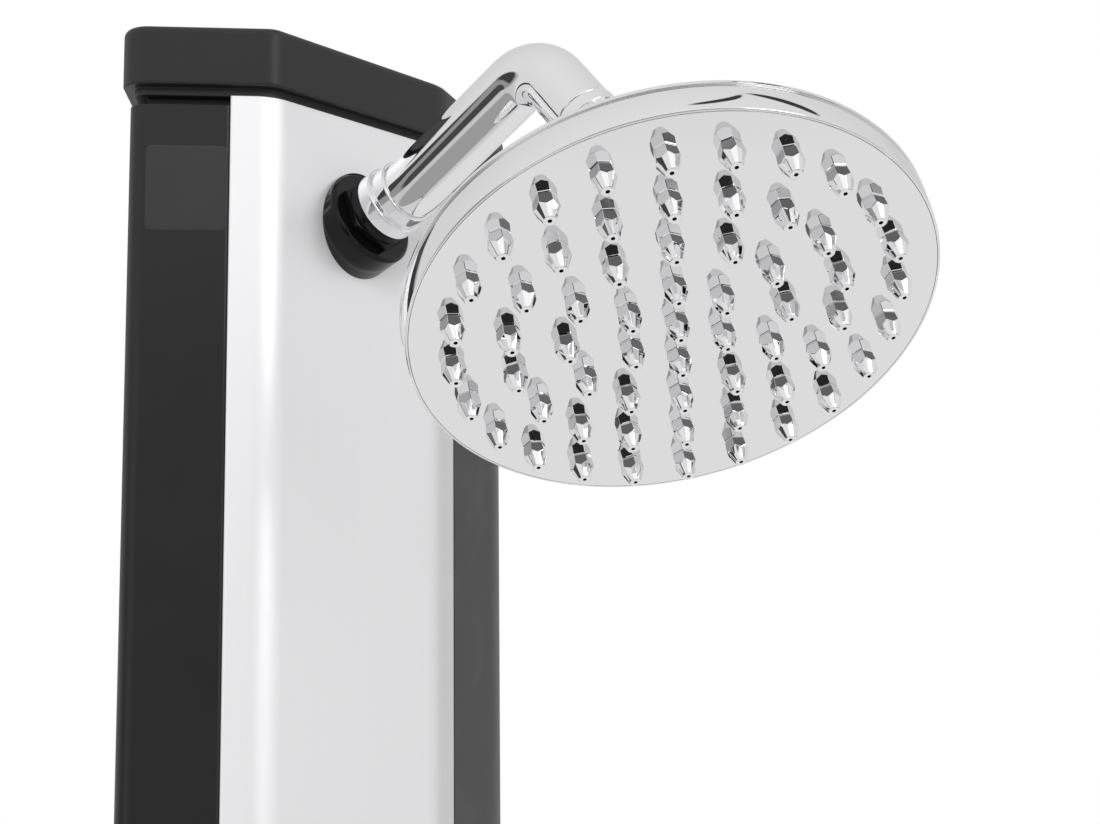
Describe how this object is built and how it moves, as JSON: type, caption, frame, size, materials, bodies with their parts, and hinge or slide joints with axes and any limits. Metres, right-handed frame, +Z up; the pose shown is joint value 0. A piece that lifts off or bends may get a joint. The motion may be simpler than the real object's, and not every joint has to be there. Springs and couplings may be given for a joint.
{
  "type": "solar shower",
  "caption": "Free-standing solar shower: bent aluminium front on a black tank column, short chrome arm with a swivelling round rain head, lever mixer and foot tap.",
  "frame": {"origin": "on the floor, at the centre of the base plate's four bolt holes", "axes": "+Z up the column; -Y is the side of the narrow black front face; the aluminium face with the arm, mixer and foot tap looks towards +X and -Y at 45 degrees"},
  "size_m": [0.2695, 0.3464, 2.1709],
  "materials": {
    "black_steel": "black powder coat",
    "black_shell": "black satin sheet",
    "black_cap": "black moulded, fine texture",
    "black_plastic": "black moulded",
    "black_gloss": "black, semi-gloss",
    "tank_plastic": "black tank plastic",
    "pipe_plastic": "grey pipe",
    "ceramic": "off-white",
    "aluminium": "satin anodised",
    "chrome": "mirror chrome plate",
    "steel": "stainless",
    "brass": "raw brass",
    "rubber": "black rubber"
  },
  "bodies": {
    "column": {"base_plate": "black_steel", "base_shoe": "black_plastic", "shoe_screws": "steel", "black_shell": "black_shell", "aluminium_front": "aluminium", "top_cap": "black_cap", "tank_stand": "black_plastic", "tank_wall": "tank_plastic", "tank_bottom_lid": "tank_plastic", "tank_top_lid": "tank_plastic", "inlet_nipple": "brass", "inlet_washer": "rubber", "inlet_nut": "brass", "feed_pipe": "pipe_plastic", "manifold": "brass", "tank_feed_pipe": "pipe_plastic", "cold_pipe": "pipe_plastic", "hot_pipe": "pipe_plastic", "riser_pipe": "pipe_plastic", "mixer_body": "brass", "mixer_cartridge": "ceramic", "mixer_rose": "chrome", "foot_tap_rose": "chrome", "foot_tap_body": "chrome", "foot_tap_aerator": "chrome", "arm_elbow": "brass", "arm_flange": "black_gloss", "arm_lock_nut": "black_gloss", "arm_collar": "chrome", "shower_arm": "chrome", "ball_stud": "chrome"},
    "swivel_seat": {"ball_seat": "ceramic"},
    "rain_head": {"swivel_nut": "chrome", "head_shell": "chrome", "head_gasket": "rubber", "flow_disc": "black_plastic", "face_plate": "chrome", "spray_nozzles": "chrome"},
    "mixer_stem": {"mixer_spindle": "steel"},
    "mixer_lever": {"mixer_handle": "chrome"},
    "foot_tap_lever": {"foot_tap_handle": "chrome"}
  },
  "joints": [
    {"name": "head_swing", "type": "hinge", "parent": "column", "child": "swivel_seat", "pos_m": [0.0938, -0.13565, 2.11168], "axis": [0.1689, -0.8201, 0.5467], "range_deg": [-5, 45]},
    {"name": "head_nod", "type": "hinge", "parent": "swivel_seat", "child": "rain_head", "pos_m": [0.0938, -0.13565, 2.11168], "axis": [0.9794, 0.2018, 0], "range_deg": [-15, 15]},
    {"name": "mixer_temperature", "type": "hinge", "parent": "column", "child": "mixer_stem", "pos_m": [0.01258, -0.05442, 1.08], "axis": [0.7071, -0.7071, 0], "range_deg": [-50, 50]},
    {"name": "mixer_lift", "type": "hinge", "parent": "mixer_stem", "child": "mixer_lever", "pos_m": [0.03591, -0.07776, 1.08], "axis": [-0.7071, -0.7071, 0], "range_deg": [0, 20]},
    {"name": "foot_tap_turn", "type": "hinge", "parent": "column", "child": "foot_tap_lever", "pos_m": [0.01258, -0.05442, 0.24], "axis": [0.7071, -0.7071, 0], "range_deg": [0, 90]}
  ]
}
